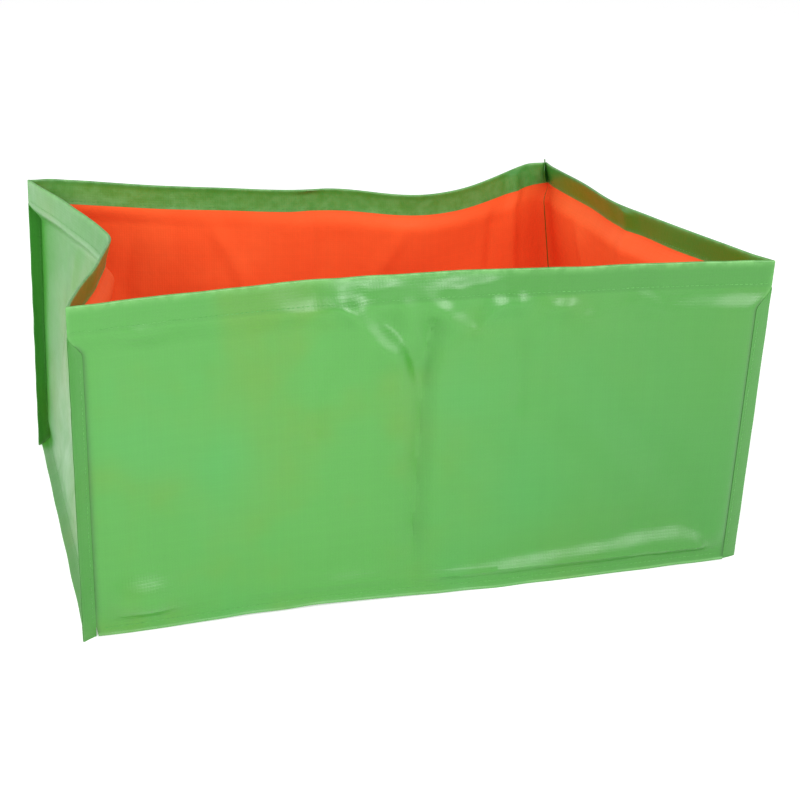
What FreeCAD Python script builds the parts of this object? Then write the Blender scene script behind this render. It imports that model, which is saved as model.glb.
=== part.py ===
import FreeCAD, Part

import math
import os

# Rectangular fabric grow bag, sewn from woven polyethylene laminate.
# Millimetres. +Z is up, +X runs along the length, and the front wall faces -Y.
# The bag stands empty: its walls lean a little and sag inwards between the corner seams.

# ---- driving dimensions ----
BAG_LENGTH = 610.0
BAG_WIDTH = 457.0
BAG_HEIGHT = 305.0

PLY = 0.25              # the woven outer ply of the laminate
FILM = 0.1              # the coloured inner film of the laminate
HEM_DEPTH = 26.0        # fabric turned over inside the rim
SEAM_WIDTH = 14.0       # corner seam allowances, which stand outwards below the hem
SEAM_TAPER = 22.0       # height below the hem over which they widen from nothing
BASE_SEAM_HEIGHT = 10.0 # base seam allowances, which hang from the seam to the ground
BASE_MARGIN = 30.0      # strip of the base that rises from the ground to the base seam
THREAD = 0.6            # lockstitch thread, laid flat
STITCH_INSET = 3.0      # stitch line to the raw edge of the hem, or to the root of a seam
GAP = 2.0               # each wall's side edge to the corner seam line

COLUMNS = 8             # facets along a wall
ROWS = 3                # facets up a wall, below the taper of the corner seams

# Each corner's outer edge is the corner of the hem and, below it, the free edge of the seam
# allowance. lean is where it meets the rim, measured from straight above its foot, and fin is
# the direction in plan, in degrees from +X, in which the allowance stands out from the seam.
CORNERS = {
    "front_left": {"side": (-1, -1), "lean": (5.0, -4.0, -4.0), "fin": 212.0},
    "front_right": {"side": (1, -1), "lean": (2.0, -29.0, -7.0), "fin": 12.0},
    "back_right": {"side": (1, 1), "lean": (-40.0, -34.0, -18.0), "fin": 45.0},
    "back_left": {"side": (-1, 1), "lean": (9.0, -19.0, -4.0), "fin": 200.0},
}

# sag is how far the middle of the rim hangs inwards, and crease is its share that comes
# from a fold down the middle of the wall, which is sharp, and not from a smooth curve.
# slump is a second hollow: its place along the wall, its reach to each side, and how far
# the rim there hangs inwards and down. flare is how far the free edge of the base seam
# allowance stands out.
WALLS = {
    "front": {"ends": ("front_left", "front_right"), "inward": (0, 1),
              "sag": 26.0, "crease": 0.0, "slump": (0.38, 0.38, 9.0, 0.0), "flare": 2.5},
    "right_end": {"ends": ("front_right", "back_right"), "inward": (-1, 0),
                  "sag": 20.0, "crease": 0.5, "slump": (0.5, 0.5, 0.0, 0.0), "flare": 5.0},
    "back": {"ends": ("back_right", "back_left"), "inward": (0, -1),
             "sag": 66.0, "crease": 0.3, "slump": (0.24, 0.24, 22.0, 9.0), "flare": 4.0},
    "left_end": {"ends": ("back_left", "front_left"), "inward": (1, 0),
                 "sag": 58.0, "crease": 1.0, "slump": (0.5, 0.5, 0.0, 0.0), "flare": 10.0},
}

# Heights up a wall, from 0 at the base seam to 1 at the rim. The wall has a row of points at
# each edge of the hem's thread, so that the thread lies on the same facets.
HEM_LINE = 1.0 - HEM_DEPTH / BAG_HEIGHT
SEAM_TOP = HEM_LINE - SEAM_TAPER / BAG_HEIGHT
STITCH_LINE = HEM_LINE + STITCH_INSET / BAG_HEIGHT
HEM_THREAD_ROWS = [STITCH_LINE, STITCH_LINE + THREAD / BAG_HEIGHT]
HEM_ROWS = [HEM_LINE] + HEM_THREAD_ROWS + [1.0]
WALL_ROWS = [SEAM_TOP * row / ROWS for row in range(ROWS + 1)] + HEM_ROWS
GROUND_LINE = -(BASE_SEAM_HEIGHT - PLY) / (BAG_HEIGHT - BASE_SEAM_HEIGHT)


def vector(x, y, z=0.0):
    return FreeCAD.Vector(x, y, z)


def between(start, end, share):
    """The point a share of the way from start to end."""
    return start + (end - start) * share


def corner_edge(corner, v):
    """A point on a corner's outer edge: v is 0 at the base seam and 1 at the rim."""
    side_x, side_y = CORNERS[corner]["side"]
    foot = vector(side_x * BAG_LENGTH / 2, side_y * BAG_WIDTH / 2, BASE_SEAM_HEIGHT)
    top = vector(foot.x, foot.y, BAG_HEIGHT) + vector(*CORNERS[corner]["lean"])
    return between(foot, top, v)


def corner_outward(corner):
    """Level direction in which a corner's seam allowance stands out."""
    angle = math.radians(CORNERS[corner]["fin"])
    return vector(math.cos(angle), math.sin(angle))


def seam_width(v):
    """Width of a corner's seam allowance, which tapers to nothing at the hem."""
    share = (HEM_LINE - v) / (HEM_LINE - SEAM_TOP)
    return SEAM_WIDTH * min(max(share, 0.0), 1.0)


def corner_point(corner, v):
    """A point on a corner seam, where two walls meet: v is 0 at the base seam and 1 at the rim."""
    return corner_edge(corner, v) - corner_outward(corner) * seam_width(v)


def inward(wall):
    return vector(*WALLS[wall]["inward"])


def rim_sag(wall, u):
    """How far the rim hangs inwards and down at u, which runs from 0 to 1 along the wall."""
    smooth = 4 * u * (1 - u)
    folded = 1 - abs(2 * u - 1)
    crease = WALLS[wall]["crease"]
    sag = WALLS[wall]["sag"] * (smooth * (1 - crease) + folded * crease)
    place, reach, slump_in, slump_down = WALLS[wall]["slump"]
    hollow = max(0.0, 1 - ((u - place) / reach) ** 2) ** 2
    sag += slump_in * hollow
    return sag, sag ** 2 / (2 * BAG_HEIGHT) + slump_down * hollow


def wall_point(wall, u, v):
    """A point on a wall's outer face. The sag grows evenly from the base seam to the rim."""
    start, end = WALLS[wall]["ends"]
    straight = between(corner_point(start, v), corner_point(end, v), u)
    sag, drop = rim_sag(wall, u)
    return straight + inward(wall) * sag * v - vector(0, 0, drop * v)


def wall_grid(wall, rows, offset=0.0):
    """Rows of points on a wall, moved inwards by offset and short of the corner seams."""
    start, end = WALLS[wall]["ends"]
    span = (corner_point(end, 0) - corner_point(start, 0)).Length
    trim = GAP / span
    columns = [trim + (1 - 2 * trim) * column / COLUMNS for column in range(COLUMNS + 1)]
    shift = inward(wall) * offset
    return [[wall_point(wall, u, v) + shift for u in columns] for v in rows]


def facet(points):
    return Part.Face(Part.makePolygon(points + points[:1]))


def cell_facets(a, b, c, d):
    """The four-sided cell a, b, c, d as two triangles, because it may be twisted."""
    return [facet([a, b, c]), facet([a, c, d])]


def grid_facets(grid):
    facets = []
    for low, high in zip(grid, grid[1:]):
        for i in range(len(low) - 1):
            facets += cell_facets(low[i], low[i + 1], high[i + 1], high[i])
    return facets


def border(grid):
    """The outline of a grid of points, once round."""
    right = [row[-1] for row in grid[1:-1]]
    left = [row[0] for row in grid[-2:0:-1]]
    return grid[0] + right + grid[-1][::-1] + left


def sheet(grid, thickness):
    """A closed sheet: a grid of points, and the same grid moved by the thickness vector."""
    far = [[point + thickness for point in row] for row in grid]
    facets = grid_facets(grid) + grid_facets(far)
    near_edge = border(grid)
    far_edge = border(far)
    for i in range(len(near_edge)):
        a, b = near_edge[i - 1], near_edge[i]
        facets.append(facet([a, b, far_edge[i], far_edge[i - 1]]))
    solid = Part.Solid(Part.Shell(facets))
    if solid.Volume < 0:
        solid.reverse()
    return solid


def wall_panel(wall):
    return sheet(wall_grid(wall, WALL_ROWS), inward(wall) * PLY)


def wall_lining(wall):
    return sheet(wall_grid(wall, WALL_ROWS, PLY), inward(wall) * FILM)


def wall_hem(wall):
    """The top of the panel turned over, so that its green face shows inside the rim."""
    return sheet(wall_grid(wall, HEM_ROWS, PLY + FILM), inward(wall) * (PLY + FILM))


def hem_thread(wall):
    """The row of stitches that holds the hem, seen outside and inside the wall."""
    rows = HEM_THREAD_ROWS
    outside = sheet(wall_grid(wall, rows), inward(wall) * -THREAD / 2)
    inside = sheet(wall_grid(wall, rows, 2 * (PLY + FILM)), inward(wall) * THREAD / 2)
    return Part.makeCompound([outside, inside])


def seam_rows(corner, near, rows):
    """Points on a corner seam's upright middle plane, for rows of (height, distance outwards)."""
    out = corner_outward(corner)
    return [[corner_point(corner, v) + out * near, corner_point(corner, v) + out * far]
            for v, far in rows]


def across(corner):
    """Level direction square to a corner seam's faces."""
    out = corner_outward(corner)
    return vector(-out.y, out.x)


def corner_seam(corner):
    """The two panels' seam allowances, face to face, from the ground up to the hem."""
    top = HEM_LINE - (HEM_LINE - SEAM_TOP) / 10
    grid = seam_rows(corner, PLY, [(v, seam_width(v)) for v in (GROUND_LINE, 0.0, SEAM_TOP, top)])
    plies = 2 * (PLY + FILM)
    shift = across(corner) * -plies / 2
    grid = [[point + shift for point in row] for row in grid]
    return sheet(grid, across(corner) * plies)


def corner_thread(corner):
    """The stitches that close a corner, seen on both faces of its seam allowances."""
    far = STITCH_INSET + THREAD
    grid = seam_rows(corner, STITCH_INSET, [(0.02, far), (SEAM_TOP, far)])
    rows = []
    for side in (-1, 1):
        shift = across(corner) * side * (PLY + FILM)
        face = [[point + shift for point in row] for row in grid]
        rows.append(sheet(face, across(corner) * side * THREAD / 2))
    return Part.makeCompound(rows)


def base_shares(span):
    """The base's lines of points, as shares of its length or width: two edges and two margins."""
    edge = GAP / span
    margin = (GAP + BASE_MARGIN) / span
    return [edge, margin, 1 - margin, 1 - edge]


def base_grid(offset=0.0):
    """The base: flat on the ground, with its margin rising to the base seam."""
    corners = {name: corner_point(name, 0.0) for name in CORNERS}
    grid = []
    for row, across_share in enumerate(base_shares(BAG_WIDTH)):
        left = between(corners["front_left"], corners["back_left"], across_share)
        right = between(corners["front_right"], corners["back_right"], across_share)
        points = []
        for column, along_share in enumerate(base_shares(BAG_LENGTH)):
            point = between(left, right, along_share)
            raised = row in (0, 3) or column in (0, 3)
            z = BASE_SEAM_HEIGHT - PLY - FILM if raised else 0.0
            points.append(vector(point.x, point.y, z + offset))
        grid.append(points)
    return grid


def base_panel():
    return sheet(base_grid(), vector(0, 0, PLY))


def base_lining():
    return sheet(base_grid(PLY), vector(0, 0, FILM))


def base_seam_grid(wall, offset=0.0):
    """Two rows of points along a base seam: the seam line, and the free edge on the ground."""
    start, end = (corner_point(corner, 0) for corner in WALLS[wall]["ends"])
    trim = (end - start).normalize() * SEAM_WIDTH / 2
    shift = inward(wall) * -offset
    line = [start + trim + shift, end - trim + shift]
    hang = inward(wall) * -WALLS[wall]["flare"] - vector(0, 0, BASE_SEAM_HEIGHT)
    return [[point + hang for point in line], line]


def base_seam(wall):
    """The wall's and the base's seam allowances, which hang outside the base seam."""
    plies = 2 * (PLY + FILM)
    return sheet(base_seam_grid(wall, PLY), inward(wall) * -plies)


def base_thread(wall):
    """The stitches along a base seam, seen on the outer face of its seam allowances."""
    free, seam = base_seam_grid(wall, PLY + 2 * (PLY + FILM))
    height = STITCH_INSET / BASE_SEAM_HEIGHT
    width = THREAD / BASE_SEAM_HEIGHT
    rows = [
        [between(top, low, share) for low, top in zip(free, seam)]
        for share in (height + width, height)
    ]
    return sheet(rows, inward(wall) * -THREAD / 2)


def write(name, shape):
    """Write one node and stop if any of its solids is not sound."""
    for solid in shape.Solids:
        if not solid.isValid() or solid.Volume <= 0:
            raise ValueError(name + " is not a sound solid")
    shape.exportStep(os.path.join("parts", name + ".step"))


os.makedirs("parts", exist_ok=True)

for wall in WALLS:
    write(wall + "_panel", wall_panel(wall))
    write(wall + "_lining", wall_lining(wall))
    write(wall + "_hem", wall_hem(wall))
    write(wall + "_hem_thread", hem_thread(wall))
    write(wall + "_base_seam", base_seam(wall))
    write(wall + "_base_thread", base_thread(wall))

for corner in CORNERS:
    write(corner + "_seam", corner_seam(corner))
    write(corner + "_seam_thread", corner_thread(corner))

write("base_panel", base_panel())
write("base_lining", base_lining())
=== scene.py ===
import math

import bpy
import numpy as np
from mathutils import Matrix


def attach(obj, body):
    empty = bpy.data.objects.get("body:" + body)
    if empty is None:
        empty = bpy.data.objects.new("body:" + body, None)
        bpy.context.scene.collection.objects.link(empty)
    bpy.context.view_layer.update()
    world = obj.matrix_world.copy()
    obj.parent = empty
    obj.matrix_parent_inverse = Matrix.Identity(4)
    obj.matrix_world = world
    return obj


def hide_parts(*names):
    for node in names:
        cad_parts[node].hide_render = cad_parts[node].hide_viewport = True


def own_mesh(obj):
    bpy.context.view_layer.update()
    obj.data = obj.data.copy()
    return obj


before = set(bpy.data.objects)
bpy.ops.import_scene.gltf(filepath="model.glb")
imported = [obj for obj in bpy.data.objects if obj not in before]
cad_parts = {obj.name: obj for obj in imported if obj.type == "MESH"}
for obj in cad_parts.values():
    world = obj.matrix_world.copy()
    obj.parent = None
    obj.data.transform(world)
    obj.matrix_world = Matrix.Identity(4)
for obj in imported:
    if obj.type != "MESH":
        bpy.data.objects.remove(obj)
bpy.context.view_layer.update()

# Fabric grow bag: each wall is one cut of woven laminate, green outside and orange inside, whose
# top is turned in to make the hem. Lengths are in millimetres until a mesh is made.
MM = 0.001
BAG_LENGTH, BAG_WIDTH, BAG_HEIGHT = 610.0, 457.0, 305.0
BASE_SEAM_HEIGHT = 10.0
BASE_MARGIN = 30.0              # strip of the base that rises from the ground to its seam
HEM_DEPTH = 26.0
STITCH_INSET = 3.0
PLY = 0.25
FILM = 0.1
AIR = 0.05                      # between the green ply and its film, so that the faces don't touch
FILM_CLEARANCE = 0.22           # share of a step by which the film stops short of the corner seams
RIM_ROLL = 1.3                  # radius of the rounded fold at the rim
HEM_THICKNESS = 1.0             # outer face to inner face of the hem where it is stitched down
FIN_WIDTH = 14.0                # corner seam allowance, which tapers to nothing at the hem
FIN_TAPER = 22.0
FOLD_ROUNDING = 0.07            # how blunt a rim's middle fold is, as a share of half the wall
EAR_WIDTH = 8.0                 # the part of the allowance that was turned in with the hem
# how far the tip of that part stands above the rim, or below it where negative
EAR_RISE = {"front_left": -3.0, "front_right": -3.0, "back_right": 4.5, "back_left": -2.0}
STEP = 3.2                      # spacing of the points on a wall
HEM_LINE = 1.0 - HEM_DEPTH / BAG_HEIGHT
WALL_RISE = BAG_HEIGHT - BASE_SEAM_HEIGHT
LIP_DROP = 9.4                  # how far down a base seam allowance reaches
# rows of points on a base seam allowance, as shares of its depth, from its raw edge up
LIP_SHARES = np.array([1.0, 0.8, 0.6, 0.4, 0.2])
FIN_TOP = HEM_LINE - FIN_TAPER / BAG_HEIGHT
GROUND_LINE = -BASE_SEAM_HEIGHT / WALL_RISE
UP = np.array([0.0, 0.0, 1.0])

# side: which corner it is. lean: where its outer edge meets the rim, from straight above its foot.
# fin: the direction in plan, in degrees, in which its seam allowance stands out below the hem.
# tone: how much deeper its green is, for its two plies and as painted shade. curl: how far the fin
# turns, in degrees, by the free edge.
CORNERS = {
    "front_left": {"side": (-1, -1), "lean": (5, -4, -4), "fin": 212, "tone": 0.7, "curl": 10},
    "front_right": {"side": (1, -1), "lean": (2, -29, -7), "fin": 12, "tone": 1.0, "curl": 16},
    "back_right": {"side": (1, 1), "lean": (-40, -34, -18), "fin": 45, "tone": 0.6, "curl": 12},
    "back_left": {"side": (-1, 1), "lean": (9, -19, -4), "fin": 200, "tone": 0.0, "curl": 14},
}


def smooth(value):
    """0 below 0, 1 above 1, and a smooth step between."""
    t = np.clip(value, 0.0, 1.0)
    return t * t * (3 - 2 * t)


def ripple(x, z, seed, wavelength, height, waves=7):
    """Gentle unevenness: a few long waves in seeded directions."""
    draw = np.random.default_rng(seed)
    total = np.zeros(np.broadcast(x, z).shape)
    for _ in range(waves):
        angle = draw.uniform(0, math.pi)
        length = wavelength * draw.uniform(0.6, 1.6)
        phase = draw.uniform(0, 2 * math.pi)
        total += np.sin(2 * math.pi * (x * math.cos(angle) + z * math.sin(angle)) / length + phase)
    return height * total / math.sqrt(waves)


def fold(x, z, path, height, near, far, ends=(0.25, 0.25), sharp=0.6):
    """A crease along path, a list of (x, z) points: height out of the wall, negative for a valley.

    near and far are its reach on the left and on the right of the path's direction. sharp is the
    share of its section that is a straight-sided fold and not a round one.
    """
    points = np.array(path, float)
    lengths = np.linalg.norm(np.diff(points, axis=0), axis=1)
    starts = np.concatenate([[0.0], np.cumsum(lengths)])
    best = np.full(np.broadcast(x, z).shape, np.inf)
    side = np.zeros_like(best)
    along = np.zeros_like(best)
    for i, (a, b) in enumerate(zip(points, points[1:])):
        dx, dz = b - a
        t = np.clip(((x - a[0]) * dx + (z - a[1]) * dz) / lengths[i] ** 2, 0, 1)
        off_x, off_z = x - a[0] - t * dx, z - a[1] - t * dz
        distance = np.hypot(off_x, off_z)
        nearer = distance < best
        best = np.where(nearer, distance, best)
        side = np.where(nearer, dx * off_z - dz * off_x, side)
        along = np.where(nearer, (starts[i] + t * lengths[i]) / starts[-1], along)
    reach = np.where(side > 0, near, far)
    share = np.clip(1 - best / reach, 0, 1)
    section = sharp * share ** 1.4 + (1 - sharp) * smooth(share)
    taper = smooth(along / max(ends[0], 1e-6)) * smooth((1 - along) / max(ends[1], 1e-6))
    return height * section * taper


def front_relief(x, z):
    """Creases of the front wall, x from its left seam and z from its base seam."""
    # the long ridge and the valley beside it, hanging from the left of the rim's middle
    relief = fold(x, z, [(210, 286), (240, 262), (258, 238), (276, 222), (290, 200)],
                  7.5, 21, 38, (0.25, 0.3), 0.75)
    relief += fold(x, z, [(250, 274), (286, 238), (298, 212), (305, 180)],
                   -4.0, 16, 12, (0.3, 0.3), 0.8)
    # the crease down the middle, and the wedge at its head
    relief += fold(x, z, [(316, 262), (306, 205), (301, 120), (294, 6)],
                   -7.5, 15, 24, (0.08, 0.2), 0.85)
    relief += fold(x, z, [(318, 272), (332, 246), (347, 232)], 3.8, 13, 22, (0.3, 0.3))
    relief += fold(x, z, [(347, 232), (362, 250), (382, 272)], 3.2, 16, 12, (0.2, 0.3))
    relief += fold(x, z, [(334, 268), (350, 250), (360, 240)], -3.0, 11, 11, (0.3, 0.4))
    # slight folds on both sides of it, down from the hem
    relief += fold(x, z, [(393, 246), (396, 150)], -2.4, 14, 14, (0.3, 0.3))
    relief += fold(x, z, [(206, 210), (205, 140)], -2.0, 14, 14, (0.3, 0.3))
    relief += fold(x, z, [(420, 268), (446, 250), (474, 238)], 2.8, 12, 18, (0.3, 0.4))
    relief += fold(x, z, [(480, 270), (505, 262), (534, 240)], 2.6, 12, 18, (0.3, 0.4))
    # broad soft swells
    relief += fold(x, z, [(236, 120), (210, 60), (196, 20)], 2.2, 30, 26, (0.4, 0.3), 0.3)
    relief += fold(x, z, [(430, 190), (480, 120), (520, 70)], 2.4, 36, 30, (0.4, 0.3), 0.3)
    relief += fold(x, z, [(90, 250), (120, 170), (100, 90)], 2.2, 36, 30, (0.4, 0.3), 0.3)
    # small bumps just below the hem's stitches
    for at_x, at_z in ((196, 266), (342, 252), (388, 262), (430, 258), (60, 262)):
        relief += 2.5 * np.exp(-((x - at_x) / 16) ** 2 - ((z - at_z) / 7.5) ** 2)
    # short puckers where the hem's stitches gather the middle of the panel
    gathered = smooth((x - 190) / 60) * smooth((470 - x) / 60) * np.exp(-((z - 264) / 12) ** 2)
    relief += 0.9 * gathered * np.sin(2 * math.pi * (x + 0.35 * z) / 25)
    # and in the hem
    for at_x, at_z in ((232, 287), (271, 284), (333, 280), (359, 283)):
        relief += 2.3 * np.exp(-((x - at_x) / 17) ** 2 - ((z - at_z) / 6.5) ** 2)
    # the hem leans back along the middle of the rim
    relief -= 3.6 * smooth((z - 262) / 34) * smooth((x - 120) / 110) * smooth((460 - x) / 110)
    # the fold along the foot of the right half, where the panel bulges over the base seam
    crease = np.interp(x, [290, 375, 433, 491, 545, 560, 575, 590, 606],
                       [12, 22, 27, 33, 39, 40, 35, 22, 4])
    width = np.interp(x, [290, 560], [14, 26])
    below = (crease - z) / width
    ledge = 0.34 * width * smooth((x - 256) / 50) * smooth((604 - x) / 24)
    relief += ledge * smooth(below) * smooth(z / 9 + 0.15)
    # bulges low on the left, one at the corner and one beside the middle crease
    relief += 9.8 * np.exp(-((x - 46) / 34) ** 2 - ((z - 22) / 20) ** 2)
    relief += 3.8 * np.exp(-((x - 240) / 42) ** 2 - ((z - 8) / 11) ** 2)
    return relief + ripple(x, z, 11, 190, 1.3) + ripple(x, z, 12, 62, 0.55)


def right_end_relief(x, z):
    """Creases of the right end, x from its front seam."""
    relief = fold(x, z, [(228, 293), (232, 180), (226, 40)], -2.5, 22, 26, (0.01, 0.3), 0.8)
    relief += fold(x, z, [(80, 270), (110, 200), (128, 120)], 2.2, 22, 14)
    relief += fold(x, z, [(352, 262), (330, 170), (318, 90)], -2.4, 16, 24)
    relief += fold(x, z, [(180, 40), (300, 60), (400, 22)], 2.6, 12, 26)
    return relief + ripple(x, z, 21, 150, 1.2) + ripple(x, z, 22, 58, 0.25)


def back_relief(x, z):
    """Creases of the back wall, x from its right seam as seen from the front."""
    relief = fold(x, z, [(306, 293), (300, 200), (309, 90), (304, 10)], 3.0, 24, 20, (0.01, 0.1), 0.8)
    relief += fold(x, z, [(44, 294), (52, 190), (48, 70)], -3.6, 18, 12, (0.02, 0.3))
    relief += fold(x, z, [(76, 270), (86, 190), (80, 110)], 3.0, 12, 20, (0.2, 0.3))
    relief += fold(x, z, [(190, 262), (228, 190), (262, 130)], -2.4, 20, 14)
    relief += fold(x, z, [(430, 268), (392, 196), (372, 128)], -2.2, 14, 20)
    relief += fold(x, z, [(504, 262), (520, 180), (512, 96)], 2.0, 18, 18)
    relief += fold(x, z, [(60, 26), (180, 34), (290, 12)], 2.6, 9, 24)
    # the hem stands up straighter than the wall below it
    relief += 11.0 * smooth((z - 254) / 46)
    return relief + ripple(x, z, 31, 180, 1.3) + ripple(x, z, 32, 60, 0.25)


def left_end_relief(x, z):
    """Creases of the left end, x from its back seam. The deep fold down its middle is in its sag."""
    relief = fold(x, z, [(228, 293), (229, 160), (228, 10)], -1.0, 10, 10, (0.01, 0.1), 0.9)
    relief += fold(x, z, [(120, 272), (104, 190), (112, 90)], 2.2, 20, 26)
    relief += fold(x, z, [(330, 270), (352, 180), (338, 80)], -2.4, 22, 18)
    relief += fold(x, z, [(60, 40), (190, 62), (300, 36)], -2.6, 18, 18)
    return relief + ripple(x, z, 41, 150, 1.1) + ripple(x, z, 42, 58, 0.25)


# ends: its corners, in order along the wall. sag and crease: how far the middle of the rim hangs
# inwards, and the share of that which comes from a sharp fold. slump: a second hollow, as its place
# along the wall, its reach, and how far in and down it hangs. drift: painted shade, how much deeper
# its green is made at the far end, where the light falls off. flare: how far its base seam allowance
# stands out. rub: painted sheen, how much paler the inside of its hem is made, standing in for
# reflected light. body: the CAD body that it rides on. relief: its creases.
WALLS = {
    "front": {"ends": ("front_left", "front_right"), "inward": (0, 1), "sag": 26, "crease": 0.0,
              "slump": (0.38, 0.38, 9, 0), "flare": 2.5, "drift": 0.8, "painted_sheen": 0.0, "body": "bag",
              "relief": front_relief},
    "right_end": {"ends": ("front_right", "back_right"), "inward": (-1, 0), "sag": 20, "crease": 0.5,
                  "slump": (0.5, 0.5, 0, 0), "flare": 5, "drift": 0.0, "painted_sheen": 0.0, "body": "bag",
                  "relief": right_end_relief},
    "back": {"ends": ("back_right", "back_left"), "inward": (0, -1), "sag": 66, "crease": 0.3,
             "slump": (0.24, 0.24, 22, 9), "flare": 4, "drift": 0.0, "painted_sheen": 0.45, "body": "back_wall",
             "relief": back_relief},
    "left_end": {"ends": ("back_left", "front_left"), "inward": (1, 0), "sag": 58, "crease": 1.0,
                 "slump": (0.5, 0.5, 0, 0), "flare": 10, "drift": 0.7, "painted_sheen": 0.0, "body": "bag",
                 "relief": left_end_relief},
}
WALL_LENGTH = {"front": BAG_LENGTH, "back": BAG_LENGTH, "right_end": BAG_WIDTH, "left_end": BAG_WIDTH}


def inward(wall):
    """The direction from a wall to the middle of the bag."""
    return np.array([*WALLS[wall]["inward"], 0.0], float)


def fin_heading(corner):
    """The direction in which a corner seam allowance stands out."""
    angle = math.radians(CORNERS[corner]["fin"])
    return np.array([math.cos(angle), math.sin(angle), 0.0])


def fin_width(v):
    """The width of a corner seam allowance, full from the ground up to its taper."""
    return FIN_WIDTH * smooth((HEM_LINE - np.asarray(v, float)) / (HEM_LINE - FIN_TOP))


def corner_edge(corner, v):
    """Points on a corner's outer edge: the hem's corner and, below it, the allowance's free edge."""
    side_x, side_y = CORNERS[corner]["side"]
    foot = np.array([side_x * BAG_LENGTH / 2, side_y * BAG_WIDTH / 2, BASE_SEAM_HEIGHT])
    top = np.array([foot[0], foot[1], BAG_HEIGHT]) + np.array(CORNERS[corner]["lean"], float)
    return foot + (top - foot) * np.asarray(v, float)[..., None]


def corner_line(corner, v):
    """Points on a corner seam, where two walls meet. v is 0 at the base seam and 1 at the rim."""
    return corner_edge(corner, v) - fin_heading(corner) * fin_width(v)[..., None]


def rim_sag(wall, u):
    """How far the rim hangs inwards and down."""
    along = 4 * u * (1 - u)
    ends = math.hypot(1, FOLD_ROUNDING)
    folded = (ends - np.hypot(2 * u - 1, FOLD_ROUNDING)) / (ends - FOLD_ROUNDING)
    crease = WALLS[wall]["crease"]
    sag = WALLS[wall]["sag"] * (along * (1 - crease) + folded * crease)
    centre, reach, slump_in, slump_down = WALLS[wall]["slump"]
    hollow = np.maximum(0.0, 1 - ((u - centre) / reach) ** 2) ** 2
    sag = sag + slump_in * hollow
    return sag, sag ** 2 / (2 * BAG_HEIGHT) + slump_down * hollow


def foot_bow(wall, u):
    """How the foot of the front wall is pushed in and lifted, left of its middle."""
    if wall != "front":
        return np.zeros(3)
    bow = np.maximum(0.0, 1 - ((u - 0.32) / 0.32) ** 2) ** 2
    return bow[..., None] * np.array([0.0, 5.0, 2.0])


def wall_face(wall, u, v):
    """Points on the outer face of a wall, its creases included."""
    start, end = (corner_line(corner, v) for corner in WALLS[wall]["ends"])
    sag, drop = rim_sag(wall, u)
    points = start + (end - start) * u[..., None]
    points = points + inward(wall) * (sag * v)[..., None] - UP * (drop * v)[..., None]
    x, z = u * WALL_LENGTH[wall], v * WALL_RISE
    # the creases fade out towards the seams, which hold the cloth
    from_seam = np.minimum(x, WALL_LENGTH[wall] - x)
    held = smooth(from_seam / 28) * smooth(z / 10)
    relief = WALLS[wall]["relief"](x, z) * held
    # beside a corner seam the panel swells out, and turns sharply in at the stitches
    swell = 3.0 * (1 - np.exp(-from_seam / 4.5)) * np.exp(-((from_seam - 6) / 26) ** 2)
    relief = relief + swell * smooth(z / 25) * smooth((HEM_LINE * WALL_RISE - z) / 25)
    return points - inward(wall) * relief[..., None] + foot_bow(wall, u) * ((1 - v) ** 2)[..., None]


def grid_normals(points, outward):
    """Unit normals of a grid of points, on the side that outward points to."""
    rows = np.gradient(points, axis=0)
    columns = np.gradient(points, axis=1)
    normals = np.cross(columns, rows)
    normals /= np.linalg.norm(normals, axis=2, keepdims=True)
    if (normals[0] @ outward).mean() < 0:
        normals = -normals
    return normals


def shell_faces(rows, columns):
    """Faces of a closed sheet made of two equal grids, the second behind the first."""
    index = np.arange(rows * columns).reshape(rows, columns)
    behind = index + rows * columns
    faces = []
    for i in range(rows - 1):
        for j in range(columns - 1):
            faces.append((index[i, j], index[i, j + 1], index[i + 1, j + 1], index[i + 1, j]))
            faces.append((behind[i, j], behind[i + 1, j], behind[i + 1, j + 1], behind[i, j + 1]))
    edge = [*index[0], *index[1:-1, -1], *index[-1, ::-1], *index[-2:0:-1, 0]]
    for i, a in enumerate(edge):
        b = edge[(i + 1) % len(edge)]
        shift = rows * columns
        faces.append((a, a + shift, b + shift, b))
    return faces


def add_mesh(name, points, faces, material, values=None, uvs=None):
    """A new object from points in millimetres. values holds one number a point, by name."""
    mesh = bpy.data.meshes.new(name)
    mesh.from_pydata((np.asarray(points) * MM).tolist(), [], [tuple(map(int, f)) for f in faces])
    for title, numbers in (values or {}).items():
        attribute = mesh.attributes.new(title, "FLOAT", "POINT")
        attribute.data.foreach_set("value", np.asarray(numbers, np.float32).ravel())
    if uvs is not None:
        corners = np.zeros(len(mesh.loops), int)
        mesh.loops.foreach_get("vertex_index", corners)
        layer = mesh.uv_layers.new(name="cut")
        layer.data.foreach_set("uv", (np.asarray(uvs) * MM).astype(np.float32)[corners].ravel())
    mesh.shade_smooth()
    mesh.set_sharp_from_angle(angle=math.radians(38))
    mesh.materials.append(material)
    piece = bpy.data.objects.new(name, mesh)
    bpy.context.scene.collection.objects.link(piece)
    return piece


def add_shell(name, front, back, material, uv, values=None):
    """A closed sheet between two grids of points, with its place on the cut as its UV."""
    rows, columns = front.shape[:2]
    points = np.concatenate([front.reshape(-1, 3), back.reshape(-1, 3)])
    on_both = {title: np.tile(numbers.ravel(), 2) for title, numbers in (values or {}).items()}
    uvs = np.tile(uv.reshape(-1, 2), (2, 1))
    return add_mesh(name, points, shell_faces(rows, columns), material, on_both, uvs)


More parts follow.
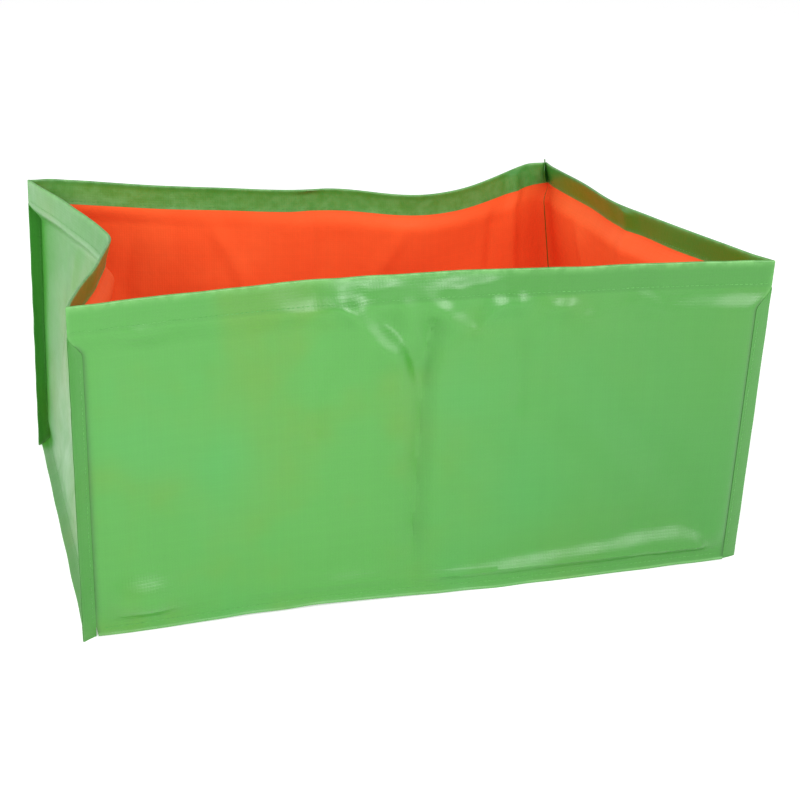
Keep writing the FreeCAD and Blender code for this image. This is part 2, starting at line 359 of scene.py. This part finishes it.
# ---- materials ----
class Nodes:
    """A material's node tree, built by short calls."""

    def __init__(self, name):
        self.material = bpy.data.materials.new(name)
        self.material.use_nodes = True
        self.tree = self.material.node_tree
        self.shader = self.tree.nodes["Principled BSDF"]

    def add(self, kind, **settings):
        """A new node with some of its settings."""
        node = self.tree.nodes.new(kind)
        for name, value in settings.items():
            setattr(node, name, value)
        return node

    def join(self, value, socket):
        """Sets a socket from another socket, or from a plain number or colour."""
        if isinstance(value, bpy.types.NodeSocket):
            self.tree.links.new(value, socket)
        else:
            socket.default_value = value

    def math(self, operation, *values):
        """The result of a sum on sockets or plain numbers."""
        node = self.add("ShaderNodeMath", operation=operation)
        for value, socket in zip(values, node.inputs):
            self.join(value, socket)
        return node.outputs[0]

    def mix(self, share, first, second):
        """A colour between two, nearer the second as share grows from 0 to 1."""
        node = self.add("ShaderNodeMix", data_type="RGBA")
        self.join(share, node.inputs["Factor"])
        self.join(first, node.inputs["A"])
        self.join(second, node.inputs["B"])
        return node.outputs["Result"]

    def span(self, value, low, high, start=0.0, end=1.0):
        """A smooth step from start to end as value goes from low to high."""
        node = self.add("ShaderNodeMapRange", interpolation_type="SMOOTHSTEP")
        for number, title in ((value, "Value"), (low, "From Min"), (high, "From Max"),
                              (start, "To Min"), (end, "To Max")):
            self.join(number, node.inputs[title])
        return node.outputs["Result"]

    def noise(self, vector, scale, detail=2.0, roughness=0.5):
        node = self.add("ShaderNodeTexNoise")
        self.join(vector, node.inputs["Vector"])
        node.inputs["Scale"].default_value = scale
        node.inputs["Detail"].default_value = detail
        node.inputs["Roughness"].default_value = roughness
        return node.outputs["Fac"]

    def bump(self, height, distance, strength=1.0, before=None):
        node = self.add("ShaderNodeBump")
        node.inputs["Distance"].default_value = distance
        node.inputs["Strength"].default_value = strength
        self.join(height, node.inputs["Height"])
        if before is not None:
            self.join(before, node.inputs["Normal"])
        return node.outputs["Normal"]

    def attribute(self, name):
        """A number stored at the mesh's points, 0 where the mesh has none."""
        return self.add("ShaderNodeAttribute", attribute_name=name).outputs["Fac"]


def woven_laminate(name, main, warm, cool, deep, pale, roughness, coat, ior, tape=0.0027):
    """Flat tapes woven over and under and sealed under a film. Colours are linear RGB.

    main varies towards warm and cool in broad patches, turns to deep where two layers lie together
    and as painted shade where less light falls, and to pale where folds have whitened and as painted
    sheen inside a hem.
    """
    nodes = Nodes(name)
    on_cut = nodes.add("ShaderNodeUVMap", uv_map="cut").outputs["UV"]
    split = nodes.add("ShaderNodeSeparateXYZ")
    nodes.join(on_cut, split.inputs[0])
    across = nodes.math("DIVIDE", split.outputs["X"], tape)
    up = nodes.math("DIVIDE", split.outputs["Y"], tape)
    # one tape is one unit wide; each crossing is a low dome, longer along the tape on top
    column, row = nodes.math("FLOOR", across), nodes.math("FLOOR", up)
    over = nodes.math("PINGPONG", nodes.math("ADD", column, row), 1.0)
    dome_x = nodes.math("PINGPONG", across, 0.5)
    dome_y = nodes.math("PINGPONG", up, 0.5)
    edge_x = nodes.span(dome_x, 0.0, 0.30)
    edge_y = nodes.span(dome_y, 0.0, 0.30)
    warp = nodes.math("MULTIPLY", edge_x, nodes.math("POWER", edge_y, 0.35))
    weft = nodes.math("MULTIPLY", edge_y, nodes.math("POWER", edge_x, 0.35))
    weave = nodes.add("ShaderNodeMix", data_type="FLOAT")
    nodes.join(over, weave.inputs["Factor"])
    nodes.join(warp, weave.inputs["A"])
    nodes.join(weft, weave.inputs["B"])
    weave = weave.outputs["Result"]
    # every tape has its own shade
    tape_tone = nodes.add("ShaderNodeTexWhiteNoise", noise_dimensions="1D")
    nodes.join(column, tape_tone.inputs["W"])
    weft_tone = nodes.add("ShaderNodeTexWhiteNoise", noise_dimensions="1D")
    nodes.join(nodes.math("ADD", row, 731.0), weft_tone.inputs["W"])
    tone = nodes.math("ADD", tape_tone.outputs["Value"], weft_tone.outputs["Value"])
    # broad patches of warmer and cooler colour
    body = nodes.add("ShaderNodeTexCoord").outputs["Object"]
    broad = nodes.noise(body, 9.0, 3.0)
    drift = nodes.noise(body, 4.3, 2.0)
    colour = nodes.mix(nodes.span(broad, 0.42, 0.66), main, warm)
    colour = nodes.mix(nodes.span(drift, 0.45, 0.70), colour, cool)
    shade = nodes.math("ADD", nodes.math("MULTIPLY", tone, 0.02), 0.98)
    between_tapes = nodes.math("SUBTRACT", 1.0, weave)
    shade = nodes.math("SUBTRACT", shade, nodes.math("MULTIPLY", between_tapes, 0.03))
    # painted shade: darker in the groove beside each corner seam
    in_groove = nodes.span(nodes.attribute("groove"), 0.0, 1.0, 1.0, 0.62)
    shade = nodes.math("MULTIPLY", shade, in_groove)
    # deeper green where two plies lie together, and as painted shade where less light falls
    colour = nodes.mix(nodes.attribute("doubled_and_shade"), colour, deep)
    bright = nodes.add("ShaderNodeMix", data_type="RGBA", blend_type="MULTIPLY")
    bright.inputs["Factor"].default_value = 1.0
    nodes.join(colour, bright.inputs["A"])
    grey = nodes.add("ShaderNodeCombineColor")
    for socket in grey.inputs:
        nodes.join(shade, socket)
    nodes.join(grey.outputs[0], bright.inputs["B"])
    # worn edges whiten in small blotches, and lose a little gloss; the same mask paints sheen inside a
    # hem
    blotches = nodes.span(nodes.noise(body, 120.0, 3.0), 0.3, 0.7, 0.35, 1.0)
    worn = nodes.math("MULTIPLY", nodes.attribute("wear_and_sheen"), blotches)
    colour = nodes.mix(worn, bright.outputs["Result"], pale)
    nodes.join(colour, nodes.shader.inputs["Base Color"])
    smudge = nodes.noise(body, 26.0, 4.0, 0.6)
    gloss = nodes.math("ADD", nodes.span(smudge, 0.3, 0.75, roughness - 0.06, roughness + 0.10),
                       nodes.math("MULTIPLY", worn, 0.15))
    nodes.join(gloss, nodes.shader.inputs["Roughness"])
    crinkle = nodes.noise(body, 85.0, 3.0, 0.55)
    soft = nodes.bump(crinkle, 0.0011, 0.45)
    nodes.join(nodes.bump(weave, 0.00007, 0.8, soft), nodes.shader.inputs["Normal"])
    nodes.shader.inputs["IOR"].default_value = ior
    nodes.shader.inputs["Coat Weight"].default_value = coat
    nodes.shader.inputs["Coat Roughness"].default_value = 0.36
    nodes.shader.inputs["Coat IOR"].default_value = 1.5
    return nodes.material


def twisted_thread(name, main, pale):
    """Matte thread: fine slanting strands with a slight change of tone from stitch to stitch."""
    nodes = Nodes(name)
    body = nodes.add("ShaderNodeTexCoord").outputs["Object"]
    strands = nodes.add("ShaderNodeTexWave", bands_direction="DIAGONAL")
    nodes.join(body, strands.inputs["Vector"])
    strands.inputs["Scale"].default_value = 900.0
    tone = nodes.noise(body, 150.0, 1.0)
    nodes.join(nodes.mix(nodes.span(tone, 0.35, 0.7), main, pale), nodes.shader.inputs["Base Color"])
    nodes.join(nodes.span(tone, 0.2, 0.8, 0.6, 0.8), nodes.shader.inputs["Roughness"])
    nodes.join(nodes.bump(strands.outputs["Fac"], 0.0001, 0.5), nodes.shader.inputs["Normal"])
    nodes.shader.inputs["Sheen Weight"].default_value = 0.3
    return nodes.material


GREEN = woven_laminate("green_laminate", (0.040, 0.236, 0.020, 1), (0.060, 0.218, 0.008, 1),
                       (0.030, 0.250, 0.034, 1), (0.020, 0.172, 0.006, 1), (0.15, 0.40, 0.11, 1),
                       0.40, 0.5, 1.48)
ORANGE = woven_laminate("orange_film", (0.90, 0.118, 0.028, 1), (0.93, 0.138, 0.034, 1),
                        (0.86, 0.100, 0.024, 1), (0.86, 0.09, 0.022, 1), (0.93, 0.26, 0.12, 1),
                        0.55, 0.0, 1.2)
THREAD = twisted_thread("green_thread", (0.045, 0.24, 0.03, 1), (0.085, 0.31, 0.06, 1))


# ---- walls ----
def wall_columns(wall):
    """The places of the columns of points along a wall, as shares of its length."""
    count = round(WALL_LENGTH[wall] / STEP)
    return np.linspace(0.0, 1.0, count + 1)


def hem_depth(closing):
    """How far the hem's inner face lies inside the wall's outer face: closing is 0 at the rim and 1
    at the hem's raw edge."""
    return 2 * RIM_ROLL + (HEM_THICKNESS - 2 * RIM_ROLL) * smooth(closing * 1.15)


def lip_wear(below):
    """How worn a base seam allowance is at a distance below its seam: only along its raw edge."""
    return smooth(below / LIP_DROP * 4 - 3) * 0.25


def base_lip(wall, ply):
    """Rows of points on a base seam allowance, from its raw edge up to just below the seam, and the
    distance of each row below the seam. ply is 0 for the wall's own, and 1 for the base's behind it.
    """
    columns = wall_columns(wall)
    x = columns * WALL_LENGTH[wall]
    seed = 70 + list(WALLS).index(wall)
    seam = wall_face(wall, columns, np.zeros_like(columns))
    along = (seam[-1] - seam[0]) / np.linalg.norm(seam[-1] - seam[0])
    # the base's ply stands out a little further than the wall's, and is a little shorter
    flare = WALLS[wall]["flare"] * (1 + ripple(x, 0 * x, seed, 110, 0.02)) + ply * 0.3
    drop = LIP_DROP + np.minimum(ripple(x, 0 * x, seed + 5, 70, 0.3), 0.4) - ply * 0.8
    rows = []
    shares = LIP_SHARES if ply == 0 else np.append(LIP_SHARES, 0.0)
    for share in shares:
        inset = (0.2 + WALLS[wall]["flare"] / 2) * share * (1 - 2 * columns)
        point = seam + along * inset[:, None]
        point = point - inward(wall) * (flare * share ** 1.4)[:, None] - UP * (drop * share)[:, None]
        rows.append(point + inward(wall) * ply * (PLY + FILM + 2 * AIR))
    return np.stack(rows), shares * LIP_DROP


def fabric_strip(wall):
    """The green face of a wall from the raw edge below its base seam, up the wall, over the rim and
    down to the hem's raw edge.

    Returns its points, the distance up the cut for each row, and how worn each row is.
    """
    columns = wall_columns(wall)
    side = inward(wall)
    top = 1.0 - RIM_ROLL / WALL_RISE
    outside = np.linspace(0.0, top, round(WALL_RISE / STEP) + 1)
    turn = np.linspace(0.0, math.pi, 11)[1:-1]
    inside = np.linspace(top, HEM_LINE, 12)

    def face(heights, offset):
        """Rows of the wall at heights, each moved inwards by its own offset. What lies further in
        is shorter by as much at both ends, so that neighbouring walls meet at the corner."""
        along = columns + offset[:, None] / WALL_LENGTH[wall] * (1 - 2 * columns)
        return wall_face(wall, along, np.broadcast_to(heights[:, None], along.shape)) \
            + side * offset[:, None, None]

    lip, below = base_lip(wall, 0)
    rim = face(np.full(len(turn), top), RIM_ROLL * (1 - np.cos(turn)))
    rim += UP * (RIM_ROLL * np.sin(turn))[:, None, None]
    closing = (top - inside) / (top - HEM_LINE)
    hem = face(inside, hem_depth(closing))
    # the raw edge wavers a little
    raw_edge = smooth((closing - 0.88) / 0.12)
    waver = 0.25 * np.sin(columns * WALL_LENGTH[wall] / 17.0)
    hem += side * (raw_edge[:, None] * waver)[..., None]
    points = np.concatenate([lip, face(outside, 0 * outside), rim, hem])
    crest = top * WALL_RISE
    lengths = np.concatenate([-below, outside * WALL_RISE, crest + RIM_ROLL * turn,
                              crest + RIM_ROLL * math.pi + (top - inside) * WALL_RISE])
    worn = np.concatenate([lip_wear(below),
                           smooth(1 - (crest - outside * WALL_RISE) / 5) * 0.5,
                           np.full(len(turn), 0.75), smooth(1 - closing * 7) * 0.5])
    worn[-1] = 0.7
    return points, lengths, worn


def wall_pieces(wall):
    """The green cut and the orange film of one wall."""
    side = inward(wall)
    columns = wall_columns(wall)
    points, lengths, rolled = fabric_strip(wall)
    normals = grid_normals(points, -side)
    x = columns * WALL_LENGTH[wall]
    uv = np.stack(np.meshgrid(x, lengths), axis=-1)
    from_seam = np.minimum(x, x[::-1])
    hem_line = HEM_LINE * WALL_RISE
    # worn along the rim and the raw edges and at the ends above the fins; paler inside the hem as
    # painted sheen
    above_fin = smooth((lengths[:, None] - FIN_TOP * WALL_RISE) / 20)
    ends = smooth(1 - from_seam / 4) * 0.35 * above_fin
    # painted sheen: the inside of the hem made paler, standing in for reflected light
    painted_hem_sheen = WALLS[wall]["painted_sheen"] * smooth((lengths[:, None] - WALL_RISE - 4) / 6)
    wear_and_sheen = np.maximum(np.maximum(rolled[:, None], ends), painted_hem_sheen)
    # painted shade: darker in the groove beside each corner seam, where shade falls between the panel
    # and its seam allowance
    groove = np.outer(lengths < hem_line - FIN_TAPER / 2, np.exp(-(from_seam / 2.8) ** 2))
    # deeper green where the hem lies behind, for its two plies, growing towards the far end as painted
    # shade; and painted shade deepening the outside towards the far end, where the light falls off
    in_hem = smooth((lengths - hem_line + 1) / 2) * smooth((WALL_RISE + 8 - lengths) / 6)
    # painted shade: the hem's deeper green grows towards the far end
    along_hem = 0.15 + 0.85 * smooth((x - 60) / 460)
    # painted shade: the outside turns deeper green towards the far end
    drift = WALLS[wall]["drift"] * smooth((x - 180) / 420)
    doubled_and_shade = np.maximum(np.outer(in_hem, along_hem), np.outer(lengths < WALL_RISE, drift))
    values = {"wear_and_sheen": wear_and_sheen, "groove": groove, "doubled_and_shade": doubled_and_shade}
    fabric = add_shell(wall + "_fabric", points, points - normals * PLY, GREEN, uv, values)
    # the film lies on the same rows as the fabric outside it, so that the two never cross
    first = len(LIP_SHARES)
    rows = slice(first, first + round(WALL_RISE / STEP))
    face, out = points[rows], normals[rows]
    near = face - out * (PLY + AIR)
    far = near - out * FILM
    for grid in (near, far):
        grid[:, 0] += (grid[:, 1] - grid[:, 0]) * FILM_CLEARANCE
        grid[:, -1] += (grid[:, -2] - grid[:, -1]) * FILM_CLEARANCE
    film = add_shell(wall + "_film", far, near, ORANGE, uv[rows])
    return fabric, film


# ---- stitches ----
def along_line(distance, marks, data):
    """The value of data, one row for each point of a line, at a distance along it. marks are the
    distances of the points."""
    return np.array([np.interp(distance, marks, data[:, k]) for k in range(3)])


def stitch_row(name, points, normals, length=3.3, gap=1.1, width=0.62, height=0.34):
    """Stitches laid along one or more lines of points, each a flattened bar that dips at its ends."""
    # a stitch's rings: place along its length, thickness as a share, and height above the cloth
    rings = [(-0.5, 0.15, -0.25), (-0.38, 0.8, 0.05), (0.0, 1.0, 0.2),
             (0.38, 0.8, 0.05), (0.5, 0.15, -0.25)]
    sides = 6
    verts, faces = [], []
    for line, line_normals in zip(points, normals):
        steps = np.linalg.norm(np.diff(line, axis=0), axis=1)
        marks = np.concatenate([[0.0], np.cumsum(steps)])
        count = int(marks[-1] // (length + gap))
        pitch = marks[-1] / count
        for i in range(count):
            here = (i + 0.5) * pitch
            middle = along_line(here, marks, line)
            forward = along_line(here + length / 2, marks, line)
            forward -= along_line(here - length / 2, marks, line)
            forward /= np.linalg.norm(forward)
            out = along_line(here, marks, line_normals)
            out -= forward * (out @ forward)
            out /= np.linalg.norm(out)
            across = np.cross(forward, out)
            first = len(verts)
            for shift, scale, lift in rings:
                for k in range(sides):
                    angle = 2 * math.pi * k / sides
                    verts.append(middle + forward * shift * length
                                 + across * math.cos(angle) * scale * width / 2
                                 + out * (lift + math.sin(angle) * scale * height / 2))
            for ring in range(len(rings) - 1):
                for k in range(sides):
                    a, b = first + ring * sides + k, first + ring * sides + (k + 1) % sides
                    faces.append((a, b, b + sides, a + sides))
            faces.append(tuple(first + k for k in reversed(range(sides))))
            faces.append(tuple(first + (len(rings) - 1) * sides + k for k in range(sides)))
    return add_mesh(name, verts, faces, THREAD)


def hem_stitching(wall):
    """Stitches near the hem's raw edge, outside the wall and inside it."""
    columns = wall_columns(wall)[1:-1]
    inset = STITCH_INSET / WALL_RISE
    v = np.array([HEM_LINE, HEM_LINE + inset, HEM_LINE + 2 * inset])
    face = wall_face(wall, *np.meshgrid(columns, v))
    normals = grid_normals(face, -inward(wall))
    inner = face[1] + inward(wall) * HEM_THICKNESS
    return stitch_row(wall + "_hem_stitching", [face[1], inner], [normals[1], -normals[1]])


# ---- corner seams ----
def fin_grid(corner, offset):
    """One ply of a corner seam allowance, offset to one side of the seam."""
    rows = np.linspace(GROUND_LINE, HEM_LINE - 0.002, 84)
    steps = np.linspace(0.0, 1.0, 9)
    seed = 50 + list(CORNERS).index(corner)
    z = rows * WALL_RISE
    width = fin_width(rows)
    turn = CORNERS[corner]["curl"] * (1 + ripple(z, 0 * z, seed, 120, 0.35))
    turn += ripple(z, 0 * z, seed + 10, 60, 3.0)
    ragged = width * (1 + ripple(z, 0 * z, seed + 20, 40, 0.012))
    points = np.zeros((len(rows), len(steps), 3))
    points[:, 0] = corner_line(corner, rows)
    start = math.radians(CORNERS[corner]["fin"]) - np.radians(turn) / 2
    for j in range(1, len(steps)):
        angle = start + np.radians(turn) * steps[j]
        heading = np.stack([np.cos(angle), np.sin(angle), np.zeros_like(angle)], axis=-1)
        points[:, j] = points[:, j - 1] + heading * (ragged * (steps[j] - steps[j - 1]))[:, None]
    left = np.cross(UP, fin_heading(corner))
    normals = grid_normals(points, left)
    # the two plies part a little towards the free edge
    spread = (PLY + FILM) / 2 + 0.3 * steps ** 2
    return points + normals * (offset * spread)[None, :, None], normals, width, z


def corner_ear(corner):
    """The same allowance above the hem line: it was turned in with the hem, so it stands inwards
    from the corner between the two hems. Returns its two faces and their place on the cut."""
    rows = np.linspace(HEM_LINE + 0.006, 1.0 + EAR_RISE[corner] / WALL_RISE, 12)
    steps = np.linspace(0.0, 1.0, 5)
    side_x, side_y = CORNERS[corner]["side"]
    heading = np.array([-side_x, -side_y, 0.0]) / math.sqrt(2)
    closing = np.clip((1 - rows) / (1 - HEM_LINE), 0, 1)
    start = math.sqrt(2) * hem_depth(closing) + 0.5
    # it narrows to its tip
    width = EAR_WIDTH * (0.35 + 0.65 * smooth(closing / 0.5))
    reach = start[:, None] + width[:, None] * steps
    middle = corner_edge(corner, rows)[:, None, :] + heading * reach[..., None]
    side = np.cross(UP, heading)
    bend = np.outer(np.linspace(1.4, 0.3, len(rows)), steps ** 2)
    middle = middle + side * bend[..., None]
    thick = PLY + FILM
    uv = np.stack([reach, np.broadcast_to((rows * WALL_RISE)[:, None], reach.shape)], axis=-1)
    return np.stack([middle + side * thick, middle - side * thick]), uv


def corner_fin(corner):
    """Both plies of a corner seam allowance and the part inside the hem, as one piece."""
    front_a, normals, width, z = fin_grid(corner, 1)
    front_b = fin_grid(corner, -1)[0]
    thick = (PLY + FILM) / 2
    rows, columns = front_a.shape[:2]
    steps = np.linspace(0, 1, columns)
    uv = np.stack([np.outer(width, steps), np.broadcast_to(z[:, None], (rows, columns))], axis=-1)
    wear_and_sheen = np.broadcast_to((smooth((steps - 0.85) / 0.15) * 0.1)[None, :], (rows, columns))
    ply_points = 2 * rows * columns
    points, faces, uvs, worn = [], [], [], []
    for ply, face in enumerate((front_a, front_b)):
        base = ply * ply_points
        points += [face + normals * thick, face - normals * thick]
        faces += [tuple(i + base for i in f) for f in shell_faces(rows, columns)]
        uvs += [uv.reshape(-1, 2)] * 2
        worn += [wear_and_sheen.ravel()] * 2
    ear, ear_uv = corner_ear(corner)
    faces += [tuple(i + 2 * ply_points for i in f) for f in shell_faces(*ear.shape[1:3])]
    points.append(ear)
    uvs += [ear_uv.reshape(-1, 2)] * 2
    worn.append(np.zeros(ear[..., 0].size))
    flat = np.concatenate([p.reshape(-1, 3) for p in points])
    # painted shade: each fin's green deepened by its corner's tone
    values = {"wear_and_sheen": np.concatenate(worn), "doubled_and_shade": np.full(len(flat), CORNERS[corner]["tone"])}
    return add_mesh(corner + "_fin", flat, faces, GREEN, values, np.concatenate(uvs))


def fin_stitching(corner):
    """Stitches through a corner seam allowance, on both of its faces."""
    # the stitches stop short of the ground and of the taper
    sewn = slice(4, -9)
    lines, directions = [], []
    for offset in (1, -1):
        face, normals, _, _ = fin_grid(corner, offset)
        share = STITCH_INSET / FIN_WIDTH * (face.shape[1] - 1)
        low = int(share)
        line = face[:, low] + (face[:, low + 1] - face[:, low]) * (share - low)
        lines.append(line[sewn] + normals[sewn, low] * offset * (PLY + FILM) / 2)
        directions.append(normals[sewn, low] * offset)
    return stitch_row(corner + "_fin_stitching", lines, directions)


# ---- base ----
def base_allowance(wall):
    """The base's own ply of a base seam allowance, behind the wall's, and the stitches of the seam."""
    out = -inward(wall)
    lip, below = base_lip(wall, 1)
    normals = grid_normals(lip, out)
    x = wall_columns(wall) * WALL_LENGTH[wall]
    uv = np.stack(np.meshgrid(x, -below), axis=-1)
    wear_and_sheen = np.broadcast_to(lip_wear(below)[:, None], lip.shape[:2])
    piece = add_shell(wall + "_base_allowance", lip, lip - normals * PLY, GREEN, uv, {"wear_and_sheen": wear_and_sheen})
    outer = base_lip(wall, 0)[0]
    normals = grid_normals(outer, out)
    line = (outer[-1] + (outer[-2] - outer[-1]) * 0.5)[2:-2]
    stitches = stitch_row(wall + "_base_stitching", [line], [normals[-1][2:-2]])
    return piece, stitches


def base_pieces():
    """The green cut of the base and its orange film: flat on the ground, a little uneven, and
    rising to the base seams along its margin."""
    # shares by which the cut stops short of the seams, at its ends and at its sides
    end_gap, side_gap = 0.0008, 0.0011
    along, across = np.meshgrid(np.linspace(end_gap, 1 - end_gap, 124),
                                np.linspace(side_gap, 1 - side_gap, 94))
    foot = {corner: corner_line(corner, 0.0) for corner in CORNERS}
    left = foot["front_left"] + (foot["back_left"] - foot["front_left"]) * across[..., None]
    right = foot["front_right"] + (foot["back_right"] - foot["front_right"]) * across[..., None]
    under = left + (right - left) * along[..., None]
    x, y = under[..., 0], under[..., 1]
    from_ends = np.minimum(along, 1 - along) * BAG_LENGTH
    from_sides = np.minimum(across, 1 - across) * BAG_WIDTH
    from_edge = np.minimum(from_ends, from_sides)
    rise = (BASE_SEAM_HEIGHT - PLY - FILM) * smooth(1 - from_edge / BASE_MARGIN)
    under += foot_bow("front", along) * smooth(1 - across * BAG_WIDTH / 80)[..., None]
    lumps = np.maximum(ripple(x, y, 80, 130, 0.9), 0) * smooth(from_edge / 60)
    under[..., 2] += rise + lumps - BASE_SEAM_HEIGHT
    uv = np.stack([x, y], axis=-1)
    top = under + UP * PLY
    fabric = add_shell("base_fabric", top, under, GREEN, uv)
    film_under = top + UP * AIR
    film = add_shell("base_film", film_under + UP * FILM, film_under, ORANGE, uv)
    return fabric, film


def place(piece, body, slot, *nodes):
    """Puts a piece on its CAD body, in the place of the CAD nodes that it stands for."""
    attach(piece, body)
    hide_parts(*nodes)
    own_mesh(piece)


on_base = []
for wall, facts in WALLS.items():
    body = facts["body"]
    fabric, film = wall_pieces(wall)
    place(fabric, body, "green_laminate", wall + "_panel", wall + "_hem")
    place(film, body, "orange_film", wall + "_lining")
    stitches = hem_stitching(wall)
    place(stitches, body, "thread", wall + "_hem_thread")
    allowance, base_stitches = base_allowance(wall)
    place(allowance, body, "green_laminate", wall + "_base_seam")
    place(base_stitches, body, "thread", wall + "_base_thread")
    on_base += [allowance, base_stitches]

for corner in CORNERS:
    body = "back_wall" if corner.startswith("back") else "bag"
    fin = corner_fin(corner)
    stitches = fin_stitching(corner)
    place(fin, body, "green_laminate", corner + "_seam")
    place(stitches, body, "thread", corner + "_seam_thread")

base_fabric, base_film = base_pieces()
place(base_fabric, "bag", "green_laminate", "base_panel")
place(base_film, "bag", "orange_film", "base_lining")


# ---- studio ----
def studio_floor():
    """A pale floor that reaches far behind the bag, a hair below it."""
    reach, drop = 12000.0, -0.2
    points = [(-reach, -reach, drop), (reach, -reach, drop), (reach, reach, drop), (-reach, reach, drop)]
    nodes = Nodes("studio_white")
    nodes.shader.inputs["Base Color"].default_value = (0.95, 0.95, 0.95, 1)
    nodes.shader.inputs["Roughness"].default_value = 0.9
    nodes.shader.inputs["Specular IOR Level"].default_value = 0.1
    nodes.shader.inputs["Emission Color"].default_value = (1, 1, 1, 1)
    nodes.shader.inputs["Emission Strength"].default_value = 0.34
    add_mesh("studio_floor", points, [(0, 1, 2, 3)], nodes.material)


def soft_light(name, place_at, look_at, size, power):
    """A rectangular lamp that faces a point, in metres."""
    light = bpy.data.lights.new(name, "AREA")
    light.shape = "RECTANGLE"
    light.size, light.size_y = size
    light.energy = power
    lamp = bpy.data.objects.new(name, light)
    lamp.location = place_at
    aim = np.array(look_at, float) - np.array(place_at, float)
    tilt = math.acos(-aim[2] / np.linalg.norm(aim))
    lamp.rotation_euler = (tilt, 0, math.atan2(aim[1], aim[0]) - math.pi / 2)
    bpy.context.scene.collection.objects.link(lamp)


def studio_world(strength):
    """Plain white light from all round."""
    world = bpy.data.worlds.new("studio")
    world.use_nodes = True
    world.node_tree.nodes["Background"].inputs["Color"].default_value = (1, 1, 1, 1)
    world.node_tree.nodes["Background"].inputs["Strength"].default_value = strength
    bpy.context.scene.world = world


def studio_camera():
    """Looks down on the bag's front and left end, from in front of its front left corner."""
    camera = bpy.data.cameras.new("camera")
    camera.lens = 76.48
    camera.sensor_width = 36.0
    camera.clip_start, camera.clip_end = 0.05, 60.0
    holder = bpy.data.objects.new("camera", camera)
    holder.location = (-0.396, -1.5355, 0.7138)
    look_down, look_right = math.radians(21.0), math.radians(15.89)
    holder.rotation_euler = (math.pi / 2 - look_down, 0, -look_right)
    bpy.context.scene.collection.objects.link(holder)
    bpy.context.scene.camera = holder


studio_floor()
studio_world(0.65)
soft_light("key", (-1.5, -2.0, 1.5), (0, 0, 0.15), (1.1, 1.1), 28)
soft_light("softbox", (0.45, -1.95, 1.12), (-0.05, -0.23, 0.25), (1.0, 0.5), 22)
soft_light("side_light", (1.6, -1.65, 0.8), (0, -0.23, 0.25), (0.6, 0.6), 10)
soft_light("left_fill", (-2.2, 0.1, 1.0), (-0.3, 0, 0.15), (1.6, 1.2), 22)
studio_camera()
bpy.context.scene.view_settings.view_transform = "Standard"
